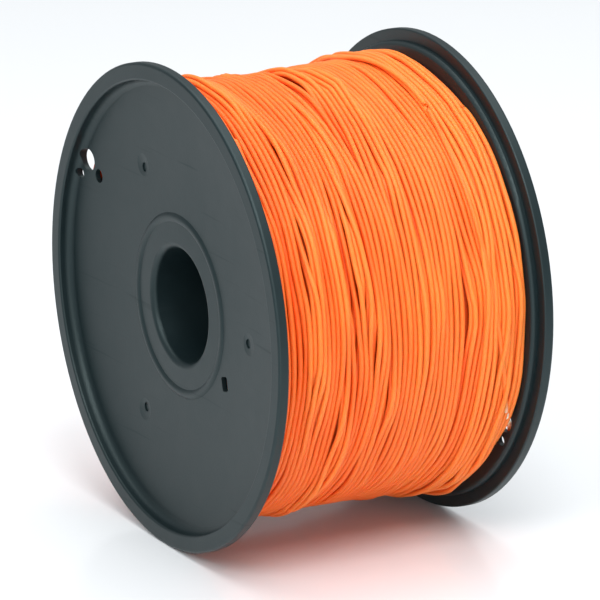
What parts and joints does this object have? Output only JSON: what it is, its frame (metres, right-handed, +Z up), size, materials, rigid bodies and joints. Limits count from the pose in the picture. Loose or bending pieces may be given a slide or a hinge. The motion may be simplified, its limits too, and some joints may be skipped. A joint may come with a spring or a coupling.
{
  "type": "filament spool",
  "caption": "Black moulded spool with dished, rimmed flanges and a through bore, wound full of orange printer filament whose end is threaded through the rear flange.",
  "frame": {"origin": "on the bore's axis, half way between the two flanges' outer faces", "axes": "+Y along the bore from the front flange to the rear flange, +Z up, +X to the right seen from the front"},
  "size_m": [0.165, 0.103, 0.165],
  "materials": {
    "spool_plastic": "black moulded polystyrene, satin, with fine scuffs",
    "filament": "opaque orange extruded plastic, soft gloss"
  },
  "bodies": {
    "root": {"front_flange": "spool_plastic", "rear_flange": "spool_plastic", "barrel": "spool_plastic", "filament_winding": "filament", "filament_start": "filament", "filament_end": "filament"}
  },
  "joints": []
}
